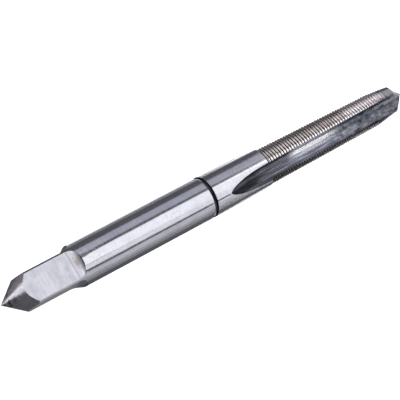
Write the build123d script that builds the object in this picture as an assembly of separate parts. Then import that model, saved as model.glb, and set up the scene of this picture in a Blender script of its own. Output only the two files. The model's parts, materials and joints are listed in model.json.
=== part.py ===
from build123d import *
import math
import os

# A straight-flute hand tap, ground from one round bar of tool steel.
# Millimetres and degrees. The tap lies along X with its thread towards +X, and
# the origin is on its axis, halfway along the plain shank. The square has one
# flat facing +Z. Angles round the axis are counted from +Z towards +Y.

# Shank and square drive
shank_diameter = 5.0
shank_length = 17.7  # full round part, from the run-out of the flats to the ring groove
square_width = 3.74  # across the flats
square_length = 5.43  # from the base of the rear centre to the run-out of the flats
run_out_radius = 1.25  # of the milling cutter, left as an arc at the end of each flat
rear_centre_angle = 74.0  # included angle of the male centre behind the square

# Ring groove and neck
ring_width = 0.52
ring_depth = 0.17  # at the neck side: the floor slopes down to it and ends in a square wall
neck_length = 8.05
neck_end_diameter = 4.87
shoulder_length = 0.25  # bevel from the neck down to the thread

# Thread, right-handed
pitch = 0.4
thread_length = 17.1  # behind the lead, full height
thread_diameter_rear = 4.52  # over the crests, at the shoulder
thread_diameter_front = 4.25  # over the crests, where the lead begins
lead_length = 3.08  # bevelled teeth that start the cut
lead_end_diameter = 3.6
front_centre_angle = 82.0  # included angle of the point
thread_angle = 60.0
crest_flat = 0.08
crest_clearance = 0.02  # how far the thread cutter's own roots stay off the crests
land_span = 100.0  # arc that a thread cutter sweeps, wider than any land

# Flutes
flute_count = 3
flute_angle = -30.0  # direction of the first flute
flute_radius = 1.23
web_diameter = 1.5  # solid core between the flutes, at the end of the lead
web_taper = 2.0  # slope of the flute floor, so that the core thickens towards the neck
flute_into_neck = 0.05  # how far the flute runs on into the neck before it rises
wheel_radius = 20.0  # of the round-nosed cutter, left in the floor where it rises
run_out_climb = 11.0  # angle by which it then climbs out of the neck
past_end = 1.0  # how far a cutter runs past the surface it cuts

# Stations along the axis, from the square to the point
shank_radius = shank_diameter / 2
flat_height = square_width / 2
flat_depth = shank_radius - flat_height
above_shank = max(run_out_radius - flat_depth, 0)  # height of the arc's centre over the bar
run_out_length = math.sqrt(run_out_radius**2 - above_shank**2)
x_shank_start = -shank_length / 2
x_flat_end = x_shank_start - run_out_length
x_centre_base = x_flat_end - square_length
x_rear_tip = x_centre_base - shank_radius / math.tan(math.radians(rear_centre_angle / 2))
x_ring_start = shank_length / 2
x_ring_end = x_ring_start + ring_width
x_neck_end = x_ring_end + neck_length
x_thread_start = x_neck_end + shoulder_length
x_lead_start = x_thread_start + thread_length
x_lead_end = x_lead_start + lead_length
front_centre_length = lead_end_diameter / 2 / math.tan(math.radians(front_centre_angle / 2))
x_front_tip = x_lead_end + front_centre_length

# Section of one thread groove
groove_slope = math.tan(math.radians(thread_angle / 2))
groove_depth = (pitch - crest_flat) / 2 / groove_slope
mouth_half = (groove_depth + crest_clearance) * groove_slope


def turned_blank():
    """The tap as it leaves the lathe: one outline turned about the X axis."""
    outline = Polyline(
        (x_rear_tip, 0),
        (x_centre_base, shank_radius),
        (x_ring_start, shank_radius),
        (x_ring_end, shank_radius - ring_depth),
        (x_ring_end, shank_radius),
        (x_neck_end, neck_end_diameter / 2),
        (x_thread_start, thread_diameter_rear / 2),
        (x_lead_start, thread_diameter_front / 2),
        (x_lead_end, lead_end_diameter / 2),
        (x_front_tip, 0),
        close=True,
    )
    return revolve(make_face(outline), Axis.X)


def flat_cutter():
    """What the mill takes off above the +Z flat, with the arc it leaves at the shank."""
    top = shank_radius + run_out_radius + past_end
    rear = Vector(x_rear_tip - past_end, 0, flat_height)
    arc_start = Vector(x_flat_end, 0, flat_height)
    arc_end = arc_start + Vector(run_out_radius, 0, run_out_radius)
    floor = Line(rear, arc_start)
    arc = TangentArc(arc_start, arc_end, tangent=(1, 0, 0))
    back = Polyline(arc_end, (arc_end.X, 0, top), (rear.X, 0, top), rear)
    side = make_face(floor + arc + back)
    return extrude(side, amount=top, dir=(0, 1, 0), both=True)


def flute_cutter():
    """The sweep of a round-nosed wheel along the +Z side of the thread.

    The nose follows the tapered web from the point back into the neck, turns
    upward on an arc of the wheel's own radius and climbs out in a straight line.
    """
    slope = math.radians(web_taper)
    along = Vector(-math.cos(slope), 0, math.sin(slope))
    outward = Vector(math.sin(slope), 0, math.cos(slope))
    nose_height = web_diameter / 2 + flute_radius
    at_lead_end = Vector(x_lead_end, 0, 0) + outward * nose_height
    start = at_lead_end - along * (front_centre_length + past_end)
    floor_length = (x_lead_end - x_neck_end + flute_into_neck) / math.cos(slope)
    turn = at_lead_end + along * floor_length
    climb = math.radians(run_out_climb)
    arc_radius = wheel_radius - flute_radius
    leave = turn + along * (arc_radius * math.sin(climb))
    leave += outward * (arc_radius * (1 - math.cos(climb)))
    rising = along * math.cos(climb) + outward * math.sin(climb)
    clear = leave + rising * ((shank_radius + past_end) / math.sin(climb))
    path = Line(start, turn) + TangentArc(turn, leave, tangent=along) + Line(leave, clear)
    nose = Plane(origin=start, x_dir=outward, z_dir=along) * Circle(flute_radius)
    return sweep(nose, path=path)


def crest_radius(x):
    """Radius over the full-height crests at station x: a slight straight taper."""
    share = (x - x_thread_start) / thread_length
    return (thread_diameter_rear + (thread_diameter_front - thread_diameter_rear) * share) / 2


def lead_radius(x):
    """Radius of the lead's bevel at station x."""
    share = (x - x_lead_start) / lead_length
    return (thread_diameter_front + (lead_end_diameter - thread_diameter_front) * share) / 2


def thread_cutter(land):
    """All the grooves of one land: a comb of V teeth turned about the X axis.

    A right-hand thread falls back by one pitch in a full turn, so each land's
    grooves lie a share of the pitch behind those of the land before it. Over the
    lead they go on for as long as the bevel leaves more than a trace of them.
    """
    outline = []
    x = x_thread_start + pitch - pitch * land / flute_count
    while x < x_lead_end and lead_radius(x) > crest_radius(x) - groove_depth + crest_clearance:
        lip = crest_radius(x) + crest_clearance
        outline += [(x - mouth_half, lip), (x, lip - groove_depth - crest_clearance)]
        outline += [(x + mouth_half, lip)]
        x += pitch
    back = shank_radius + past_end
    outline = [(outline[0][0], back)] + outline + [(outline[-1][0], back)]
    comb = make_face(Polyline(*outline, close=True))
    land_angle = flute_angle + (land + 0.5) * 360 / flute_count
    from_y_to_land = 90 - land_angle
    comb = comb.rotate(Axis.X, from_y_to_land - land_span / 2)
    return revolve(comb, Axis.X, revolution_arc=land_span)


def hand_tap():
    """The finished tap: blank, square, flutes, then the thread on each land."""
    tap = turned_blank()
    flat = flat_cutter()
    for quarter in range(4):
        tap -= flat.rotate(Axis.X, 90 * quarter)
    flute = flute_cutter()
    for turn in range(flute_count):
        tap -= flute.rotate(Axis.X, -flute_angle - turn * 360 / flute_count)
    for land in range(flute_count):
        tap -= thread_cutter(land)
    return tap


os.makedirs("parts", exist_ok=True)
tap = hand_tap()
export_step(tap, "parts/tap.step")
print("tap", round(tap.volume, 2), "mm3,", round(x_front_tip - x_rear_tip, 2), "mm long")
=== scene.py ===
# %% [markdown]
# # A hand tap, drawn over its solid model
#
# A hand tap cuts a screw thread in a drilled hole. This one is ground from one round
# bar of tool steel: a pointed centre, a square for the wrench, a plain shank with a
# ring groove, a neck, and a long fine thread with three straight flutes. The solid
# model gives every size. What it leaves out is the true helix of the thread and the
# look of ground, milled and oily steel, so this file draws the skin again with both.

import json
import math

import bpy
import numpy as np
from mathutils import Matrix, Vector


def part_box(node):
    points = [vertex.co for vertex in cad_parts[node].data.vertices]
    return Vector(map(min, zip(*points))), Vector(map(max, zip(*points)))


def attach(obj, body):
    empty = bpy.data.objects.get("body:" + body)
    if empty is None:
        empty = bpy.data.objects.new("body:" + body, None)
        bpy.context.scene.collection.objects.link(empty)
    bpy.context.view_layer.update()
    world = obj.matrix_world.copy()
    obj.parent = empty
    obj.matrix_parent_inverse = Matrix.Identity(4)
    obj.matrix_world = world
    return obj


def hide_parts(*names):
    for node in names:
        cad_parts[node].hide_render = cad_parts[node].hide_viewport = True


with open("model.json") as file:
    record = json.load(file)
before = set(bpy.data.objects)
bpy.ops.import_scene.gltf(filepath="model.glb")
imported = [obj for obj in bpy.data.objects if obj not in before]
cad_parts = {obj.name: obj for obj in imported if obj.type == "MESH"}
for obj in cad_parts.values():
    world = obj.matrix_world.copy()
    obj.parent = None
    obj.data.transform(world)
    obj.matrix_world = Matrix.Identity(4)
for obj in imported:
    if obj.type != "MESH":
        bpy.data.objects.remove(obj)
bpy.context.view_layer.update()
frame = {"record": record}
mounts = {mount["name"]: mount for mount in frame["record"]["mounts"]}

# %% [markdown]
# ## Sizes
#
# The skin has to lie where the solid lies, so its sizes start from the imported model:
# both tips are the ends of its box, and the shank's radius and the place of the drive
# flats are stated by its mounts. The other sizes are the tap's own, in millimetres.
# Working in millimetres keeps the numbers readable; one factor turns them to metres.

# %% Sizes of the tap, in millimetres
MM = 0.001
tip_low, tip_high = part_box("tap")
x_rear_tip = tip_low.x / MM
x_front_tip = tip_high.x / MM
shank_radius = mounts["shank"]["dims"]["r_mm"]
flat_height = mounts["drive_flat_top"]["pos_m"][2] / MM

shank_length = 17.7
rear_centre_angle = 74.0  # degrees, the full angle of the cone
run_out_radius = 1.25  # of the arc that the milling cutter leaves at the end of a flat
ring_width = 0.52
ring_depth = 0.17
neck_length = 8.05
neck_end_radius = 2.435
shoulder_length = 0.25
thread_length = 17.1
thread_radius_rear = 2.26  # over the crests, at the shoulder
thread_radius_front = 2.125  # over the crests, where the lead begins
lead_length = 3.08
lead_end_radius = 1.8

x_shank_start = -shank_length / 2
above_shank = flat_height + run_out_radius - shank_radius
x_flat_end = x_shank_start - math.sqrt(run_out_radius ** 2 - above_shank ** 2)
x_centre_base = x_rear_tip + shank_radius / math.tan(math.radians(rear_centre_angle / 2))
x_ring_start = shank_length / 2
x_ring_end = x_ring_start + ring_width
x_neck_end = x_ring_end + neck_length
x_thread_start = x_neck_end + shoulder_length
x_lead_start = x_thread_start + thread_length
x_lead_end = x_lead_start + lead_length
print("stations:", [round(x, 2) for x in (
    x_rear_tip, x_centre_base, x_flat_end, x_shank_start, x_ring_start, x_ring_end,
    x_neck_end, x_thread_start, x_lead_start, x_lead_end, x_front_tip)])

# %% [markdown]
# ## Sizes of the cuts
#
# A thread of 0.4 mm pitch is cut into the front end, and three flutes run through it to
# carry the chips away. They are ground by a wheel with a round nose, which leaves a
# core that grows a little thicker towards the neck. There the wheel lifts out, first
# on an arc of its own radius and then straight, which draws the long oval in the neck.

# %% Sizes of the thread and the flutes, in millimetres and radians
pitch = 0.4
crest_flat = 0.08
root_flat = 0.028

flute_count = 3
flute_angle = math.radians(-30.0)  # direction of the first flute, from +Z towards +Y
flute_radius = 1.23
web_radius = 0.75
web_slope = math.radians(2.0)
wheel_radius = 20.0
run_out_climb = math.radians(11.0)
flute_into_neck = 0.05
x_flute_turn = x_neck_end - flute_into_neck
print("thread of", pitch, "mm pitch;", flute_count, "flutes with a nose of", flute_radius, "mm")

# %% [markdown]
# ## Camera
#
# The photo was taken from far away with a long lens: the tap narrows by only a few
# percent towards its thread, which lies further off. A lens of 176 mm at 220 mm from
# the tap gives that. The camera looks down at the side of the tap, with the thread
# turned away by 29 degrees, and is rolled so that the tap rises to the right. Its
# matrix is built from three directions: right, up and towards the camera.

# %% The camera
axis_tilt = math.radians(29.2)
flat_turn = math.radians(6.0)
roll = math.radians(27.955)
view_target = Vector((8.65, 0, 0)) * MM
view_distance = 220 * MM

along = Vector((1, 0, 0))
upper = Vector((0, math.cos(flat_turn), math.sin(flat_turn)))
nearer = Vector((0, -math.sin(flat_turn), math.cos(flat_turn)))
to_camera = -math.sin(axis_tilt) * along + math.cos(axis_tilt) * nearer
across = math.cos(axis_tilt) * along + math.sin(axis_tilt) * nearer
image_right = math.cos(roll) * across - math.sin(roll) * upper
image_up = math.sin(roll) * across + math.cos(roll) * upper

camera = bpy.data.objects.new("camera", bpy.data.cameras.new("camera"))
camera.data.lens = 175.86
camera.data.sensor_width = 36
camera.data.clip_start = 0.01
camera.matrix_world = Matrix.Translation(view_target + to_camera * view_distance) @ Matrix(
    (image_right, image_up, to_camera)).transposed().to_4x4()
bpy.context.scene.collection.objects.link(camera)
bpy.context.scene.camera = camera
print("camera at", tuple(round(c, 4) for c in camera.location))

# %% [markdown]
# ## The skin as a grid
#
# Everything on a tap is either turned, milled flat or ground along the axis, so its
# skin is one closed tube: rows go round the axis and columns run from tip to tip.
# Cutting the shapes from each other would also work, but it leaves long thin faces that
# shade badly on bright steel. A plain grid, in turn, would cut across the flute edges
# and make them ragged. Here the columns slide round the axis so that some of them
# always lie on the edges of the flats and flutes, and the rows lean with the thread so
# that its crests lie on rows.

# %% The turned bar
hair = 1e-6  # mm between the two sides of the ring's square wall


def blank_radius(x):
    """Radius of the turned bar at x: straight lines between its stations."""
    corners_x = [x_rear_tip, x_centre_base, x_ring_start, x_ring_end - hair, x_ring_end,
                 x_neck_end, x_thread_start, x_lead_start, x_lead_end, x_front_tip]
    corners_r = [0, shank_radius, shank_radius, shank_radius - ring_depth, shank_radius,
                 neck_end_radius, thread_radius_rear, thread_radius_front, lead_end_radius, 0]
    return np.interp(x, corners_x, corners_r)


print("bar radius at the ring's floor:", round(float(blank_radius(x_ring_end - hair)), 3), "mm")

# %% [markdown]
# ## Rows
#
# A row stands wherever the outline has a corner, and more stand close together where
# it bends. Each groove of the thread gets seven rows: flank, root, flank and crest.
# On the cone and in the run-out, a row stands wherever the curved rim of a flat has
# gone one more even step round the bar.

# %% Stations along the axis
narrow = math.radians(2.5)  # half the width that a flat or a flute keeps while it is closed
groove_reach = 0.4  # of a pitch, from the middle of a groove to the last row on its flank


def spread(start, stop, count):
    """Evenly spaced stations from start up to, but not with, stop."""
    return np.linspace(start, stop, count, endpoint=False)


full_pitches = int(thread_length / pitch) - 1
x_first_groove = x_thread_start + pitch
groove_centres = x_first_groove + pitch * np.arange(full_pitches)
# Across one groove, in pitches from its middle: flank, flat root, flank and next crest.
in_a_groove = np.array([-groove_reach, -0.2, -0.035, 0.035, 0.2, groove_reach, 0.5])

flat_edge = spread(narrow, math.acos(flat_height / shank_radius), 18)
on_cone = flat_height / np.cos(flat_edge) * (x_centre_base - x_rear_tip) / shank_radius
up_the_arc = run_out_radius + flat_height - shank_radius * np.cos(flat_edge[::-1])
rows_x = np.concatenate([
    x_rear_tip + on_cone[0] * np.array([0.01, 0.03, 0.08, 0.2, 0.4, 0.6, 0.8, 0.95]),
    x_rear_tip + on_cone,
    spread(x_centre_base, x_flat_end, 8),
    [x_flat_end],
    x_flat_end + np.sqrt(run_out_radius ** 2 - up_the_arc ** 2),
    spread(x_shank_start, x_ring_start, 24),
    spread(x_ring_start, x_ring_end - hair, 5),
    [x_ring_end - hair],
    spread(x_ring_end, x_neck_end, 48),
    spread(x_neck_end, x_thread_start, 6),
    spread(x_thread_start, x_first_groove - groove_reach * pitch, 10),
    (groove_centres[:, None] + pitch * in_a_groove).ravel(),
    spread(groove_centres[-1] + (1 - groove_reach) * pitch, x_lead_end, 110),
    spread(x_lead_end, x_front_tip, 16),
])
print(len(rows_x), "rows over", full_pitches, "pitches of full thread")

# %% [markdown]
# ## Flats and flutes
#
# A cutter leaves its own outline behind: a milled flat ends in the arc of the mill, and
# a flute has the round nose of the wheel for its section. So each is a height above
# the axis that depends only on the station, worked out for all rows at once.

# %% Flats and flutes as cuts
def flat_level(x):
    """Height of a flat above the axis: level on the square, then up on the cutter's arc.

    The arc's height is its centre's height less the root of radius squared minus the
    distance behind the flat's end squared.
    """
    behind = np.clip(x - x_flat_end, 0, run_out_radius)
    return flat_height + run_out_radius - np.sqrt(run_out_radius ** 2 - behind ** 2)


def flute_centre(x):
    """Height of the nose circle's centre above the axis at x.

    From the point it rises with the web's slope. Behind the turning station it follows
    an arc of the wheel's radius, and after that a straight climb.
    """
    at_lead_end = web_radius + flute_radius
    straight = at_lead_end + (x_lead_end - x) * math.tan(web_slope)
    arc = wheel_radius - flute_radius
    behind = np.maximum(x_flute_turn - x, 0)
    turned = np.arcsin(np.clip(behind / arc + math.sin(web_slope), -1, 1)) - web_slope
    turned = np.clip(turned, 0, run_out_climb)
    arc_rise = arc * (math.cos(web_slope) - np.cos(turned + web_slope))
    arc_reach = arc * (np.sin(turned + web_slope) - math.sin(web_slope))
    climb_rise = (behind - arc_reach) * math.tan(run_out_climb + web_slope)
    at_turn = at_lead_end + (x_lead_end - x_flute_turn) * math.tan(web_slope)
    return np.where(x < x_flute_turn, at_turn + arc_rise + climb_rise, straight)


def flute_half_arc(radius, centre):
    """Half the angle of the nose circle that lies inside a radius, seen from its own centre.

    It is the cosine rule, on the triangle of the axis, the circle's centre and the edge.
    """
    cosine = (centre ** 2 + flute_radius ** 2 - radius ** 2) / (2 * centre * flute_radius)
    return np.arccos(np.clip(cosine, -1, 1))


print("web at the neck:", round(float(flute_centre(x_neck_end)) - flute_radius, 3), "mm")

# %% [markdown]
# ## The thread
#
# A right-hand thread runs away from you as it turns clockwise. Round the axis, each
# groove therefore moves by one pitch in a full turn. On a fluted tap only three
# narrow lands of it are left. The groove is a 60 degree V with a narrow crest left on
# top, and over the lead the crests are ground off by a bevel, so that the first teeth
# are wide and low and each cuts a little deeper than the one before. A profile swept
# along a spiral would have to be cut by the flutes afterwards; as a radius that depends
# on station and angle, the thread joins the grid directly.

# %% The thread's section and helix
full_turn = 2 * math.pi
first_land = flute_angle + math.pi / flute_count
thread_angle = math.radians(60)
flank_slope = math.tan(thread_angle / 2)
crest_taper = (thread_radius_front - thread_radius_rear) / thread_length
x_last_crest = x_lead_start + 1  # past this the bevel has taken every crest


def thread_radius(x, turn):
    """Radius of the threaded skin at station x and angle turn.

    The distance from the nearest groove centre, measured along the axis after the
    helix is taken off, gives the depth of the V; crests and roots cut it off flat.
    """
    shifted = x - x_first_groove + pitch * (turn - first_land) / full_turn
    from_groove = np.abs(shifted - pitch * np.round(shifted / pitch))
    along_thread = np.clip(x, x_thread_start, x_last_crest) - x_thread_start
    crest = thread_radius_rear + crest_taper * along_thread
    flank = (np.maximum(from_groove, root_flat / 2) - pitch / 2 + crest_flat / 2) / flank_slope
    fade_in = np.clip((x - x_thread_start) / (groove_reach * pitch), 0, 1)
    cut = crest + np.minimum(flank, 0) * fade_in
    return np.where(x < x_thread_start, blank_radius(x), np.minimum(cut, blank_radius(x)))


lead_angle = math.degrees(math.atan(pitch / (full_turn * thread_radius_front)))
print("lead angle of the helix:", round(lead_angle, 2), "degrees")

# %% [markdown]
# ## Columns
#
# Round the square end a row has four flats, and round the thread three flutes. Both
# use 144 columns, so the same column can run the whole length: it belongs to a flat
# at one end, to a flute at the other, and slides from one place to the other under
# the plain shank, where nothing shows its track.

# %% Columns of the square end
columns = 144
flat_columns = 26
quarter_turn = math.pi / 2
corner_width = math.radians(0.3)  # the least that is kept for a corner between two flats


def square_columns(x, radius):
    """Angles of the columns on the square end, one row per station.

    A flat is as wide as the chord that its level cuts off the bar; the rest of each
    quarter is shared by the columns of the round corner.
    """
    half = np.arccos(np.clip(flat_level(x) / np.maximum(radius, hair), 0, 1))
    half = np.clip(half, narrow, quarter_turn / 2 - corner_width)[:, None]
    per_quarter = columns // 4
    on_flat = np.linspace(-1, 1, flat_columns + 1)[None, :] * half
    share = np.arange(1, per_quarter - flat_columns)[None, :] / (per_quarter - flat_columns)
    on_corner = half + share * (quarter_turn - 2 * half)
    quarter = np.hstack([on_flat, on_corner])
    return np.hstack([quarter + k * quarter_turn for k in range(4)])


flat_span = 2 * math.degrees(math.acos(flat_height / shank_radius))
print("a flat spans", round(flat_span, 1), "degrees of the bar")

# %% [markdown]
# ## Lean of the rows
#
# On each land the rows lean by the helix, so that a crest stays on its row. A full
# turn of that would end one pitch away from where it began, so inside the last flute,
# where the surface is smooth and nothing shows it, the rows swing back by a pitch.

# %% Lean of the rows with the helix
lean_grows_over = 0.6 * pitch  # mm in front of the shoulder


def lean(x, turn, swing=0.0):
    """How far a point of row x is moved along the axis at an angle turn.

    It is the helix itself, less a pitch for each whole turn away from the first land.
    Swing is the share of a pitch by which the row has swung back. The lean fades in
    behind the shoulder and out over the lead.
    """
    helix = pitch * (swing - (turn - first_land) / full_turn)
    fade_in = np.clip((x - x_thread_start) / lean_grows_over, 0, 1)
    fade_out = np.clip((x_lead_end - x) / lead_length, 0, 1)
    return helix * np.minimum(fade_in, fade_out)


print("lean across one land:", round(pitch / (2 * flute_count), 3), "mm")

# %% [markdown]
# ## Flutes and lands
#
# A flute's wall hangs over a little near the cutting edge, so its points can't be
# found by asking for one radius at each angle. They are set out along the nose circle
# instead. Between two flutes lies a land, where the points lie on the thread.

# %% Columns of the fluted end
flute_columns = 26
land_columns = columns // flute_count - flute_columns
sector = full_turn / flute_count
first_guess = math.radians(30)  # half of a flute's opening, to start the search from


def flute_corner(x, middle, direction, swing):
    """Where one edge of a flute meets the thread: half arc, angle from the middle and lean.

    The nose circle is cut off at the radius of the thread, which itself depends on the
    angle reached, so the three are worked out three times over.
    """
    turn, moved = middle + direction * first_guess, 0.0
    for _ in range(3):
        half = flute_half_arc(thread_radius(x + moved, turn), flute_centre(x + moved))
        centre = flute_centre(x + moved)
        open_angle = np.arctan2(flute_radius * np.sin(half), centre - flute_radius * np.cos(half))
        turn = middle + direction * open_angle
        moved = lean(x, turn, swing)
    return half, open_angle, moved


def fluted_ring(rows):
    """Angle, radius and lean of every point on the given rows of the fluted end.

    Inside a flute the points lie on the nose circle at even steps of its own arc, so
    they can follow a wall that hangs over. Between two flutes they lie on the thread.
    Where a flute is not yet open, its columns keep a narrow strip of the neck.
    """
    x = rows[:, None]
    step = np.linspace(-1, 1, flute_columns + 1)[None, :]
    share = np.arange(1, land_columns)[None, :] / land_columns
    angles, radii, leans = [], [], []
    for k in range(flute_count):
        middle = flute_angle + k * sector
        swing = 1.0 if k == flute_count - 1 else 0.0
        half_a, open_a, lean_a = flute_corner(x, middle, -1, 0.0)
        half_b, open_b, lean_b = flute_corner(x, middle, 1, swing)
        moved = lean_a + (lean_b - lean_a) * (step + 1) / 2
        centre = flute_centre(x + moved)
        arc = step * np.where(step < 0, half_a, half_b)
        nose_z = centre - flute_radius * np.cos(arc)
        nose_y = flute_radius * np.sin(arc)
        thin = step * narrow
        reach = np.sqrt(np.maximum(flute_radius ** 2 - (centre * np.sin(thin)) ** 2, 0))
        uncut = thread_radius(x + moved, middle + thin)
        strip = np.minimum(centre * np.cos(thin) - reach, uncut)
        closed = np.minimum(open_a, open_b) < narrow
        angles.append(middle + np.where(closed, thin, np.arctan2(nose_y, nose_z)))
        radii.append(np.where(closed, strip, np.hypot(nose_y, nose_z)))
        leans.append(moved)
        open_next = flute_corner(x, middle + sector, -1, swing)[1]
        start = middle + np.where(closed, narrow, open_b)
        stop = middle + sector - np.maximum(open_next, narrow)
        turn = start + share * (stop - start)
        moved = lean(x, turn, swing)
        angles.append(turn)
        radii.append(thread_radius(x + moved, turn))
        leans.append(moved)
    return np.hstack(angles), np.hstack(radii), np.hstack(leans)


sample = fluted_ring(np.array([x_neck_end - 4, x_thread_start + 5]))
least = sample[1].min(axis=1).round(3)
print("columns per row:", sample[0].shape[1], "- least radius there:", least)

# %% [markdown]
# ## All points of the skin
#
# The radius at a point is the least of what each tool has left there: the turned bar,
# the milled flats, the ground flutes and the thread. Under the plain shank all columns
# are evenly spaced, and towards either end they slide to the edges that wait there.

# %% Points of the whole skin
slide_to_square = (-4.0, -8.5)  # mm, the stretch of shank over which the columns slide
slide_to_flutes = (2.0, x_ring_start)


def slide(x, start, stop):
    """One share per row, from 0 at start to 1 at stop."""
    return np.clip((x - start) / (stop - start), 0, 1)[:, None]


def near(angles, even):
    """The same angles, moved by whole turns to lie as near as they can to the even ones."""
    return angles - np.round((angles - even) / full_turn) * full_turn


def tap_skin():
    """Station, angle and radius of all points, each as an array of rows by columns.

    A column's angle is its even place, moved by a share towards its place on the
    square at one end and towards its place on the flutes at the other.
    """
    x = rows_x
    step = full_turn / columns
    even = flute_angle + (np.arange(columns) - flute_columns / 2) * step
    even = even[None, :].repeat(len(x), axis=0)
    square = np.roll(square_columns(x, blank_radius(x)), round(-flute_angle / step), axis=1)
    fluted, fluted_radius, moved = fluted_ring(np.maximum(x, x_ring_end))
    turn = even + slide(x, *slide_to_square) * (near(square, even) - even)
    turn += slide(x, *slide_to_flutes) * (near(fluted, even) - even)
    from_flat = (turn + quarter_turn / 2) % quarter_turn - quarter_turn / 2
    turned = blank_radius(x)[:, None].repeat(columns, axis=1)
    milled = np.minimum(turned, flat_level(x)[:, None] / np.cos(from_flat))
    radius = np.where((x < x_shank_start)[:, None], milled, turned)
    radius = np.where((x >= x_ring_end)[:, None], fluted_radius, radius)
    return x[:, None] + moved, turn, radius


station, turn, skin_radius = tap_skin()
narrowest = round(float(np.diff(turn, axis=1).min()), 4)
print("rows x columns:", skin_radius.shape, "- narrowest step:", narrowest)

# %% [markdown]
# ## Zones
#
# Each tool leaves its own finish, with a sharp border where the next one started. A
# face therefore belongs to one zone, and each zone has a material of its own. A zone is
# told by its station and by whether the face lies below the turned bar.

# %% Zones of the skin: which tool left each face
cut_from = 2e-4  # mm below the bar from which a point counts as cut


def corner_mean(values):
    """Mean of a row-by-column array over the four corners of each face, closed round the axis."""
    both = (values + np.roll(values, -1, axis=1)) / 2
    return (both[:-1] + both[1:]) / 2


face_x = corner_mean(station)
is_cut = corner_mean((skin_radius < blank_radius(station) - cut_from).astype(float)) >= 0.5
in_flute = (np.arange(columns) % (flute_columns + land_columns) < flute_columns)[None, :]
zone_names = ["ground", "milled", "centre", "ring", "flute", "thread", "point"]
zone = np.zeros(face_x.shape, int)
for name, where in (
    ("centre", face_x < x_centre_base),
    ("milled", (face_x < x_shank_start) & is_cut),
    ("ring", (face_x > x_ring_start) & (face_x < x_ring_end)),
    ("thread", face_x > x_neck_end),
    ("point", face_x > x_lead_end),
    ("flute", (face_x > x_ring_end) & is_cut & in_flute),
):
    zone[where] = zone_names.index(name)
print({name: int((zone == k).sum()) for k, name in enumerate(zone_names)})

# %% [markdown]
# ## The mesh
#
# The arrays are handed to Blender whole, which is far quicker than adding one vertex
# after another. A pole closes the tube at either tip. Faces are shaded smooth, and
# only edges that turn by more than 12 degrees stay sharp: the rims of the flats, the
# flutes and the teeth.

# %% Build the mesh
sharp_from = math.radians(12)


def skin_mesh(name, station, turn, radius, zone):
    """A closed tube from arrays of station, angle and radius, with a pole at either tip.

    Point = (station, radius sin angle, radius cos angle). Each face takes a point, the
    next along the axis, and both their neighbours round it, which makes it face out.
    """
    rows, count = radius.shape
    points = np.stack([station, radius * np.sin(turn), radius * np.cos(turn)], axis=-1)
    points = points.reshape(-1, 3)
    poles = np.array([[x_rear_tip, 0, 0], [x_front_tip, 0, 0]])
    index = np.arange(rows * count).reshape(rows, count)
    following = np.roll(index, -1, axis=1)
    quads = np.stack([index[:-1], index[1:], following[1:], following[:-1]], axis=-1).reshape(-1, 4)
    rear = np.stack([np.full(count, rows * count), index[0], following[0]], axis=-1)
    front = np.stack([np.full(count, rows * count + 1), following[-1], index[-1]], axis=-1)
    corners = np.concatenate([quads.ravel(), rear.ravel(), front.ravel()])
    sizes = np.concatenate([np.full(len(quads), 4), np.full(2 * count, 3)])
    zones = np.concatenate([zone.ravel(), np.full(count, zone[0, 0]), np.full(count, zone[-1, -1])])
    mesh = bpy.data.meshes.new(name)
    mesh.vertices.add(rows * count + 2)
    mesh.vertices.foreach_set("co", (np.vstack([points, poles]) * MM).astype(np.float32).ravel())
    mesh.loops.add(len(corners))
    mesh.loops.foreach_set("vertex_index", corners.astype(np.int32))
    mesh.polygons.add(len(sizes))
    mesh.polygons.foreach_set("loop_start", (np.cumsum(sizes) - sizes).astype(np.int32))
    mesh.polygons.foreach_set("material_index", zones.astype(np.int32))
    mesh.update(calc_edges=True)
    mesh.validate()
    mesh.polygons.foreach_set("use_smooth", np.ones(len(sizes), bool))
    mesh.set_sharp_from_angle(angle=sharp_from)
    return mesh


tap_mesh = skin_mesh("hand_tap", station, turn, skin_radius, zone)
hand_tap = bpy.data.objects.new("hand_tap", tap_mesh)
bpy.context.scene.collection.objects.link(hand_tap)
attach(hand_tap, "root")
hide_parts("tap")
print("faces:", len(tap_mesh.polygons), "triangles:", 2 * zone.size + 2 * columns)

# %% [markdown]
# ## Numbers stored on the points
#
# Oil and painted shade lie in the roots, the cutting edges carry a painted highlight, and
# the far side of each flute carries painted shade. None of that follows from a place in
# space alone, because it goes round with the lands. The grid knows it, so it stores three
# numbers on its points: the depth below the bar, the share across a flute and the share
# across a land.

# %% Depth, and shares across the flutes and the lands
def add_number(mesh, name, values):
    """Stores one number per point of the grid under a name that a material can ask for."""
    attribute = mesh.attributes.new(name, "FLOAT", "POINT")
    attribute.data.foreach_set("value", np.append(values.ravel(), [0, 0]).astype(np.float32))


column = np.arange(columns) % (flute_columns + land_columns)
across_flute = np.where(column <= flute_columns, 1 - column / flute_columns, 0)
across_land = np.where(column >= flute_columns, 1 - (column - flute_columns) / land_columns, 0)
depth = np.maximum(blank_radius(station) - skin_radius, 0)
add_number(tap_mesh, "groove_depth", depth)
add_number(tap_mesh, "heel_share", np.broadcast_to(across_flute, depth.shape))
add_number(tap_mesh, "edge_share", np.broadcast_to(across_land, depth.shape))
print("deepest point below the bar:", round(float(depth.max()), 3), "mm")

# %% [markdown]
# ## Materials
#
# The whole tap is one steel, but each machining step has left it looking different.
# Bare steel is nearly a mirror, so what we see is mostly the room, and the finish
# decides how sharply. A metal's colour is that of its reflections: hex colours below
# are what the eye sees where a white lamp is mirrored. One small function adds any
# node, sets its inputs and links whatever socket it is given.

# %% Colours and nodes
def linear(hex_colour):
    """An sRGB hex colour as linear red, green, blue and alpha."""
    values = np.array([int(hex_colour[i:i + 2], 16) for i in (1, 3, 5)]) / 255
    return (*np.where(values <= 0.04045, values / 12.92, ((values + 0.055) / 1.055) ** 2.4), 1.0)


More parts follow.
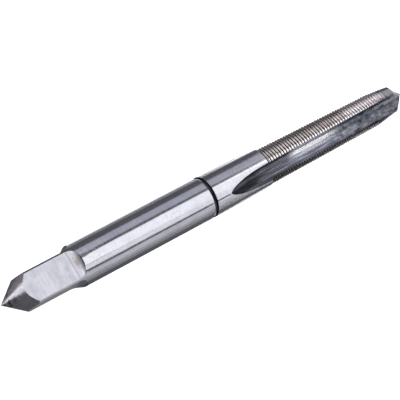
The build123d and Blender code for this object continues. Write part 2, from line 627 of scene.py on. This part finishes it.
def add_node(tree, kind, settings):
    """Adds a node; a setting is a property or an input, and a socket given for one is linked."""
    node = tree.nodes.new("ShaderNode" + kind)
    for key, value in settings.items():
        if isinstance(value, bpy.types.NodeSocket):
            tree.links.new(value, node.inputs[key])
        elif isinstance(key, int) or key in node.inputs:
            node.inputs[key].default_value = linear(value) if isinstance(value, str) else value
        else:
            setattr(node, key, value)
    return node


print("pale steel in linear light:", [round(float(c), 3) for c in linear("#cdced6")])

# %% [markdown]
# ### Marks in millimetres
#
# Grinding marks, mill steps and clouds are all noise, stretched to the size of the real
# thing. Object coordinates are in metres and stay with the tap, so a size in
# millimetres is divided out of them before the noise reads them.

# %% Marks of a known size
scratchy = {"detail": 3.0, "low": 0.2, "high": 0.8}  # a noise used whole, for a relief


def in_sizes(tree, size, place=(0, 0, 0)):
    """Object coordinates counted from a place, in steps of a size; both are in millimetres."""
    coordinates = add_node(tree, "TexCoord", {})
    shifted = add_node(tree, "VectorMath", {
        "operation": "SUBTRACT", 0: coordinates.outputs["Object"], 1: Vector(place) * MM})
    return add_node(tree, "VectorMath", {
        "operation": "DIVIDE", 0: shifted.outputs[0], 1: Vector(size) * MM}).outputs[0]


def grain(tree, size, first=0.0, last=1.0, detail=2.0, low=0.35, high=0.65):
    """A noise that wavers from first to last, in marks of the given sizes along X, Y and Z.

    Of the plain noise, what lies between low and high is stretched to that range.
    """
    noise = add_node(tree, "TexNoise", {
        "Vector": in_sizes(tree, size), "Scale": 1.0, "Detail": detail, "Roughness": 0.6})
    return add_node(tree, "MapRange", {
        "Value": noise.outputs[0], "From Min": low, "From Max": high,
        "To Min": first, "To Max": last}).outputs[0]


print("a relief uses its noise from", scratchy["low"], "to", scratchy["high"])

# %% [markdown]
# ### Coats
#
# Oil, dirt and painted shade lie over the metal in coats, some in patches. A coat is a share,
# 0 where the metal is bare and 1 where it is covered, with the colour that shows there.
# A marbled colour is the simplest case: one colour, under a patchy coat of another.

# %% Coats of colour
def layered(tree, base, *coats):
    """A base under coats, one over the other; each is the share that it covers and its colour."""
    colour = base
    for share, coat in coats:
        colour = add_node(tree, "Mix", {
            "data_type": "RGBA", 0: share, 6: colour, 7: coat}).outputs[2]
    return colour


print("coats are laid from the metal upwards")

# %% [markdown]
# ### Bare steel
#
# The seven finishes differ only in colour, roughness and relief. Each starts as a
# fully metallic surface that keeps the shader's own IOR, and is added to the mesh in
# the order of the zones.

# %% A bare steel and its finish
def new_steel(name):
    """The node tree of a new bare metal, added to the mesh as its next material."""
    material = bpy.data.materials.new(name)
    material.use_nodes = True
    material.node_tree.nodes["Principled BSDF"].inputs["Metallic"].default_value = 1.0
    tap_mesh.materials.append(material)
    return material.node_tree


def finish_steel(tree, colour, roughness, relief=None, depth=0.0):
    """Gives the steel its colour, roughness and a relief whose depth is in millimetres."""
    shader = tree.nodes["Principled BSDF"]
    tree.links.new(colour, shader.inputs["Base Color"])
    tree.links.new(roughness, shader.inputs["Roughness"])
    if relief is not None:
        bump = add_node(tree, "Bump", {"Distance": depth * MM, "Height": relief})
        tree.links.new(bump.outputs["Normal"], shader.inputs["Normal"])
    print(tap_mesh.materials[-1].name, "has", len(tree.nodes), "nodes")


print("zones to finish:", zone_names)

# %% [markdown]
# ### Ground steel
#
# Shank and neck were ground while the tap turned, so the finest marks run round it.
# They are a few micrometres wide. Drawn true they would vanish between pixels, so here
# they are 0.12 mm wide: that is what makes the long reflections look slightly silky.
# Handling has left faint clouds, and a speckle of 0.16 mm stands for fine scratches.

# %% Ground shank and neck
# Ground tool steel: bright, with crisp bands of light that are only a little soft.
tree = new_steel("ground_steel")
clouds = layered(tree, "#c0c1ca", (grain(tree, (2.6, 1.1, 1.1)), "#cdced6"))
speckle = layered(tree, "#b3b4be", (
    grain(tree, (0.16, 0.16, 0.16), detail=3.0, low=0.3, high=0.7), "#dadbe2"))
finish_steel(tree,
             colour=layered(tree, clouds, (grain(tree, (4, 2, 2), 0.15, 0.55), speckle)),
             roughness=grain(tree, (0.12, 3, 3), 0.1, 0.17),
             relief=grain(tree, (0.12, 3, 3), **scratchy), depth=0.0012)

# %% [markdown]
# ### Stretches and spots
#
# Some coats begin at a station of the tap, and dirt sits in one place. The first recipe
# reads one coordinate, the second the distance from a place, made ragged by a noise.

# %% Where a coat begins, and spots
def rises(tree, axis, start, stop, most=1.0):
    """Goes from 0 at start to most at stop, both in millimetres along X, Y or Z."""
    place = add_node(tree, "SeparateXYZ", {0: in_sizes(tree, (1, 1, 1))})
    return add_node(tree, "MapRange", {
        "Value": place.outputs[axis], "From Min": start, "From Max": stop,
        "To Max": most}).outputs[0]


def blot(tree, place, size):
    """A spot that is 1 in its middle and fades to 0 at its ragged rim.

    The distance from its place, in steps of its size, has a fine noise added to it.
    """
    distance = add_node(tree, "VectorMath", {"operation": "LENGTH", 0: in_sizes(tree, size, place)})
    ragged = add_node(tree, "Math", {
        "operation": "MULTIPLY_ADD", 0: grain(tree, (0.3, 0.3, 0.3)), 1: 0.5,
        2: distance.outputs["Value"]})
    return add_node(tree, "MapRange", {
        "Value": ragged.outputs[0], "From Min": 1.3, "From Max": 0.5}).outputs[0]


print("a stretch or a spot covers from 0, bare, to 1")

# %% [markdown]
# ### Milled flats
#
# The flats were milled across the axis. The cutter's steps show as soft bars across
# each flat, broader and duller than grinding marks, and a fine line crosses the flat
# where the cutter stopped. In the run-out a little brown dirt has stayed, and its rim
# lies in shade.

# %% Milled flats of the square
line_from, line_to = x_flat_end - 0.12, x_flat_end + 0.14
dirt_place, dirt_size = (x_flat_end + 0.62, 0.1, flat_height + 0.15), (0.35, 1.1, 1.1)
rim_in_shade = (x_shank_start - 0.16, x_shank_start - 0.06)

# Milled tool steel: pale and satin, so that it mirrors light but no shapes.
tree = new_steel("milled_steel")
bars = layered(tree, "#aeaeb9", (grain(tree, (0.5, 5, 5), detail=3.0), "#cdcdd6"))
uneven = layered(tree, "#b8b8c3", (grain(tree, (0.9, 0.7, 0.7)), "#d0d0d9"))
stop_line = add_node(tree, "Math", {
    "operation": "MULTIPLY", 0: rises(tree, "X", line_from, x_flat_end),
    1: rises(tree, "X", line_to, x_flat_end)}).outputs[0]
spot = blot(tree, dirt_place, dirt_size)
cover = add_node(tree, "Math", {"operation": "MULTIPLY_ADD", 0: spot, 1: 0.3, 2: 0.5}).outputs[0]
dirt = add_node(tree, "Math", {"operation": "MULTIPLY", 0: spot, 1: cover}).outputs[0]
finish_steel(tree,
             colour=layered(tree, bars, (grain(tree, (2, 2, 2), 0.3, 0.7), uneven),
                            (stop_line, "#a3a3ae"), (dirt, "#8b857d"),
                            (rises(tree, "X", *rim_in_shade), "#4c4a4e")),
             roughness=grain(tree, (0.4, 6, 6), 0.32, 0.42),
             relief=grain(tree, (0.25, 6, 6), **scratchy), depth=0.002)

# %% [markdown]
# ### Turned centre
#
# The cone behind the square holds the tap between centres while it is ground. It was
# turned and left as it was, so it is duller than the shank, and old oil has collected
# in black specks close to its tip.

# %% Turned centre behind the square
specks_thicken = (x_rear_tip + 2.0, x_rear_tip + 0.3)

# Turned tool steel: a warm grey whose one bright streak has soft borders.
tree = new_steel("turned_steel")
steel = layered(tree, "#bdbbc3", (grain(tree, (0.8, 0.8, 0.8)), "#cdcad2"))
specks = add_node(tree, "Math", {
    "operation": "MULTIPLY", 0: rises(tree, "X", *specks_thicken),
    1: grain(tree, (0.4, 0.4, 0.4), low=0.52, high=0.62)}).outputs[0]
finish_steel(tree,
             colour=layered(tree, steel, (specks, "#232226")),
             roughness=grain(tree, (0.3, 0.6, 0.6), 0.2, 0.3),
             relief=grain(tree, (0.1, 3, 3), **scratchy), depth=0.002)

# %% [markdown]
# ### Ring groove
#
# The ring was cut with a narrow tool and never polished. Its colour is drawn nearly
# black, which makes it the darkest line on the tap.

# %% Ring groove
# Grooved tool steel: drawn nearly black, with a dull sheen.
tree = new_steel("grooved_steel")
finish_steel(tree,
             colour=layered(tree, "#30323d", (grain(tree, (0.3, 0.9, 0.9)), "#5a5c68")),
             roughness=grain(tree, (0.1, 2, 2), 0.3, 0.45))

# %% [markdown]
# ### Coats that follow the lands
#
# In a flute and on a land, a finish changes across the surface, from one edge to the
# other. The numbers stored on the points tell how far across a point lies.

# %% Coats that follow the lands
def stored(tree, name, start, stop):
    """Goes from 0 to 1 as the number stored on the points goes from start to stop."""
    number = add_node(tree, "Attribute", {"attribute_name": name})
    return add_node(tree, "MapRange", {
        "Value": number.outputs["Fac"], "From Min": start, "From Max": stop}).outputs[0]


print("stored:", [a.name for a in tap_mesh.attributes if a.data_type == "FLOAT"])

# %% [markdown]
# ### Flutes
#
# The flutes were ground lengthwise, so their marks run along the tap. They are drawn
# 0.16 mm wide, because true ones would be lost between pixels. The oval in the neck is
# painted dark as painted shade, the middle is bright, and the heel side of the flute is
# painted blue-grey as painted shade. Towards the point, cutting oil has dried in
# grey-blue clouds, the wall beside the cutting edge carries a painted highlight, and
# chips have left it a little rough.

# %% Ground flutes with oil stains
# Stretches in mm along X: where the painted shade of the run-out ends, then where the stains begin.
runout_shade_ends = (x_neck_end + 3.1, x_neck_end + 4.8)
stains_and_highlight_begin = (26.5, 29.5)
# Shares across the flute where the painted shade of the heel side begins, and where the painted
# highlight beside the cutting edge fades out.
heel_shade_begins = (0.5, 0.7)  # shares across the flute, 0 at the cutting edge
flute_wall_highlight = (0.2, 0.05)
rough_wall = (0.16, 0.06)

# Fluted tool steel: a long bright streak at its middle, painted shade at the neck end and oil
# stains towards the point.
tree = new_steel("fluted_steel")
# Painted shade: the oval of the run-out in the neck is coloured dark.
runout_shade = layered(tree, "#46484f", (grain(tree, (3, 0.2, 0.2)), "#6a6b75"))
streaks = layered(tree, "#c4c5cd", (grain(tree, (6, 0.16, 0.16)), "#ecedf1"))
# Painted shade: the heel side of the flute is coloured blue-grey.
heel_shade = layered(tree, "#565869", (grain(tree, (3, 0.16, 0.16)), "#8b8c9b"))
middle_under_heel_shade = layered(tree, streaks, (stored(tree, "heel_share", *heel_shade_begins), heel_shade))
# Oil stains, with a painted highlight on the wall beside the cutting edge.
stains_with_wall_highlight = layered(tree, "#3a434e", (grain(tree, (0.9, 0.6, 0.6), detail=3.0), "#95959f"),
                 (stored(tree, "heel_share", *flute_wall_highlight), "#dcdde3"))
rubbed = add_node(tree, "Math", {
    "operation": "MULTIPLY_ADD", 0: stored(tree, "heel_share", *rough_wall), 1: 0.4,
    2: grain(tree, (2, 0.3, 0.3), 0.17, 0.27)}).outputs[0]
finish_steel(tree,
             colour=layered(tree, runout_shade, (rises(tree, "X", *runout_shade_ends), middle_under_heel_shade),
                            (rises(tree, "X", *stains_and_highlight_begin), stains_with_wall_highlight)),
             roughness=rubbed,
             relief=grain(tree, (5, 0.14, 0.14), **scratchy), depth=0.003)

# %% [markdown]
# ### Threads
#
# The crests are worn bright and slightly pink, while dark oil and grit, with painted
# shade, lie in the roots. The depth of each point below the bar tells the two apart.
# Towards the point the roots have been wiped, first to brown and then to grey, and each
# tooth carries a painted highlight at its cutting edge. The first groove at the shoulder
# is drawn darkest, the lead ends in a plain bevel, and the land on the side towards -Y
# is drawn darker.

# %% Thread with bright crests and oily roots
fresh_crests = (24.5, 19.5)
oil_thins = (20.0, 28.6)
wiped = (29.8, 30.4)
# The first groove at the shoulder is drawn darkest:
first_groove = (x_thread_start + 0.16, x_thread_start + 0.06)
plain_bevel = (x_lead_end - 2.7, x_lead_end - 1.3)
# Towards -Y the land is drawn darker:
darker_low_side = (-1.2, -1.6)  # along Y
# Where the painted highlight along each cutting edge lies:
painted_edge_highlight = (0.85, 0.91)  # shares across the land, 1 at the cutting edge
# Depth at which the oil and painted shade of the roots begin:
root_begins = (0.09, 0.17)  # mm below the bar

# Threaded tool steel: fine bright and dark lines, with a painted highlight at the cutting edge of
# each tooth.
tree = new_steel("threaded_steel")
# Crests worn bright, with a painted highlight laid on at each cutting edge.
crest = layered(tree, "#c6bebd", (grain(tree, (0.8, 0.6, 0.6)), "#e8e2e0"),
                (rises(tree, "X", *fresh_crests), "#e9e3e1"),
                (rises(tree, "X", *wiped), "#f3edef"),
                (stored(tree, "edge_share", *painted_edge_highlight), "#ece8e8"))
# Oil and painted shade in the roots: dark where a point lies deep below the bar.
root = layered(tree, "#231f20", (grain(tree, (0.7, 0.5, 0.5)), "#453e3c"),
               (rises(tree, "X", *oil_thins), "#8a807e"),
               (rises(tree, "X", *wiped), "#b2aaac"))
finish_steel(tree,
             colour=layered(tree, crest, (stored(tree, "groove_depth", *root_begins), root),
                            (rises(tree, "X", *first_groove), "#262322"),
                            (rises(tree, "X", *plain_bevel), "#97979d"),
                            (rises(tree, "Y", *darker_low_side, most=0.7), "#262622")),
             roughness=grain(tree, (0.3, 0.3, 0.3), 0.13, 0.22))

# %% [markdown]
# ### Point
#
# The point was turned before the flutes were ground, so only three small corners of it
# are left. They are even, dull and grey.

# %% Point
# Pointed tool steel: plain grey, too rough to mirror anything.
tree = new_steel("pointed_steel")
finish_steel(tree,
             colour=layered(tree, "#74757b", (grain(tree, (0.5, 0.5, 0.5)), "#9a9aa1")),
             roughness=grain(tree, (0.2, 0.4, 0.4), 0.25, 0.38))

# %% [markdown]
# ## Floor and room
#
# The photo shows the tap cut out on plain white. A pale floor that glows a little
# gives that from every side. It is hidden from reflections, because a bright floor
# would wash out the dark bands that make the steel look round.

# %% Floor and room
floor_reach = 3.0
room_grey = (0.13, 0.13, 0.138, 1)  # linear light, a dim and slightly cold room
floor_height = -shank_radius * MM
floor_mesh = bpy.data.meshes.new("floor")
floor_mesh.from_pydata([(x, y, floor_height) for x, y in (
    (-floor_reach, -floor_reach), (floor_reach, -floor_reach),
    (floor_reach, floor_reach), (-floor_reach, floor_reach))], [], [(0, 1, 2, 3)])
floor = bpy.data.objects.new("floor", floor_mesh)
bpy.context.scene.collection.objects.link(floor)
floor.visible_glossy = False
floor.visible_shadow = False

# Matt white card: no sheen and no grain, so that the tap stands alone.
floor_material = bpy.data.materials.new("pale_floor")
floor_material.use_nodes = True
floor_shader = floor_material.node_tree.nodes["Principled BSDF"]
floor_shader.inputs["Base Color"].default_value = linear("#f4f4f4")
floor_shader.inputs["Roughness"].default_value = 0.9
floor_shader.inputs["Emission Color"].default_value = linear("#ffffff")
floor_shader.inputs["Emission Strength"].default_value = 0.85
floor_mesh.materials.append(floor_material)

world = bpy.data.worlds.new("studio")
world.use_nodes = True
world.node_tree.nodes["Background"].inputs["Color"].default_value = room_grey
bpy.context.scene.world = world
bpy.context.scene.view_settings.view_transform = "Standard"
print("floor at", round(floor_height / MM, 2), "mm")

# %% [markdown]
# ## Lamps
#
# Round steel shows each lamp as a long band, so a lamp is placed by where its band has
# to lie. Seen under a tilt, a round bar mirrors only directions that lean as far past
# it as the camera leans before it. A lamp on that lean, turned about the axis by twice
# the angle of the surface, shows as a band at that angle. Its ends along the tap set
# the ends of the band, at about a third of the size, because the camera stands near.

# %% A soft panel, placed by its reflection
mirror_lean = 0.488  # the sine of the camera's tilt
lamp_distance = 0.5


def panel(name, lean_x, around, width, start, stop, radiance, tint=(1, 1, 1)):
    """A flat soft light that faces the tap, given by where it shows in the steel.

    Lean_x is the part of its direction along the axis. The rest is turned about the axis
    by around degrees, from the side nearer the camera towards the lower side; width is
    what it spans that way, in degrees. Start and stop are its own ends along the tap, in
    metres from the middle of the picture.
    """
    angle = math.radians(around)
    side = math.cos(angle) * nearer - math.sin(angle) * upper
    from_axis = math.sqrt(1 - lean_x ** 2)
    direction = lean_x * along + from_axis * side
    up = direction.cross(along).normalized()
    level = up.cross(direction).normalized()
    light = bpy.data.lights.new(name, "AREA")
    light.shape = "RECTANGLE"
    light.size = 2 * lamp_distance * from_axis * math.tan(math.radians(width / 2))
    light.size_y = stop - start
    light.energy = radiance * math.pi * light.size * light.size_y
    light.color = tint
    lamp = bpy.data.objects.new(name, light)
    middle = view_target + direction * lamp_distance + level * (start + stop) / 2
    facing = Matrix((up, level, direction)).transposed().to_4x4()
    lamp.matrix_world = Matrix.Translation(middle) @ facing
    bpy.context.scene.collection.objects.link(lamp)


print("lamps stand", lamp_distance, "m away and lean by", mirror_lean)

# %% [markdown]
# ### Bands on the shank and the neck
#
# The photo shows a white band along the middle of the bar, a grey one above it, and
# below it bands that grow darker towards the rim, with a thin dark line wherever two
# lamps don't quite meet. The lamps upper_glow and edge_strip start beyond the neck, so
# they light only the thread and its edges.

# %% Lamps for the bands
panel("main_upper", mirror_lean, -1.5, 48, -0.35, 0.05, 1.3)
panel("main_lower", mirror_lean, 34, 22, -0.35, 0.045, 1.0)
panel("upper_panel", mirror_lean, -57, 36, -0.35, 0.05, 0.40, (0.95, 0.96, 1.1))
panel("upper_glow", mirror_lean, -62, 44, 0.052, 0.3, 0.8, (1.0, 0.97, 0.97))
panel("edge_strip", mirror_lean, -27, 16, 0.038, 0.088, 1.7)
panel("lower_panel", mirror_lean, 68, 25, -0.35, 0.045, 0.60)
panel("lower_fade", mirror_lean, 88, 15, -0.35, 0.045, 0.38)
panel("lower_edge", mirror_lean, 105, 18, -0.35, 0.045, 0.2)
print("bands:", len(bpy.data.lights), "lamps")

# %% [markdown]
# ### The streak in the flute
#
# The flute's floor slopes, so it mirrors a place further along than the neck beside it
# does. Narrow, strong lamps there draw the white streak halfway along the flute, and
# wide, weak ones fill the stained part beyond it and the steep wall.

# %% Lamps for the flute
panel("flute_glow", mirror_lean, 72, 60, 0.067, 0.084, 3.0)
panel("flute_rim", mirror_lean, 133, 50, 0.066, 0.084, 2.2)
panel("flute_mid", mirror_lean, 5, 54, 0.065, 0.086, 3.2)
panel("flute_floor", mirror_lean, 8, 66, 0.088, 0.13, 0.5)
panel("flute_fill", mirror_lean, 105, 90, 0.087, 0.3, 0.45)
panel("wall_card", mirror_lean, 190, 80, 0.075, 0.3, 3.0)
print("with the flute:", len(bpy.data.lights), "lamps")

# %% [markdown]
# ### Rims, the rear cone and the ends
#
# At the rim a bar mirrors what stands behind it, so the first three lamps are far
# round. The cone, the run-outs and the rear flanks of the teeth face backwards and
# mirror the rear lamps. One of them, end_card, stands nearly in line with the tap and
# draws the light lines between the teeth; side_key brightens thread and flute.

# %% Lamps for the rims and the rear
panel("rim_soft", mirror_lean, -127, 26, -0.3, 0.06, 0.18)
panel("side_flat", mirror_lean, 164, 20, -0.085, -0.048, 0.24, (1.0, 0.97, 0.95))
panel("rim_card", mirror_lean, -160, 40, -0.09, 0.03, 1.2)
panel("rear_strip", -0.64, -38, 62, -0.12, 0.16, 1.5, (1.0, 0.97, 0.98))
panel("rear_fill", -0.45, -100, 50, -0.2, 0.2, 0.12, (1.0, 0.95, 1.0))
panel("rear_soft", -0.37, 5, 50, -0.15, 0.15, 0.9, (1.0, 0.98, 0.95))
panel("side_key", 0.0, -48, 40, -0.2, 0.2, 0.9)
panel("end_card", -0.978, -90, 24, -0.11, 0.11, 2.2, (1.0, 0.99, 0.98))
panel("end_fill", -0.89, -90, 24, -0.2, 0.2, 0.15, (1.0, 0.97, 0.95))
print("all lamps:", len(bpy.data.lights))
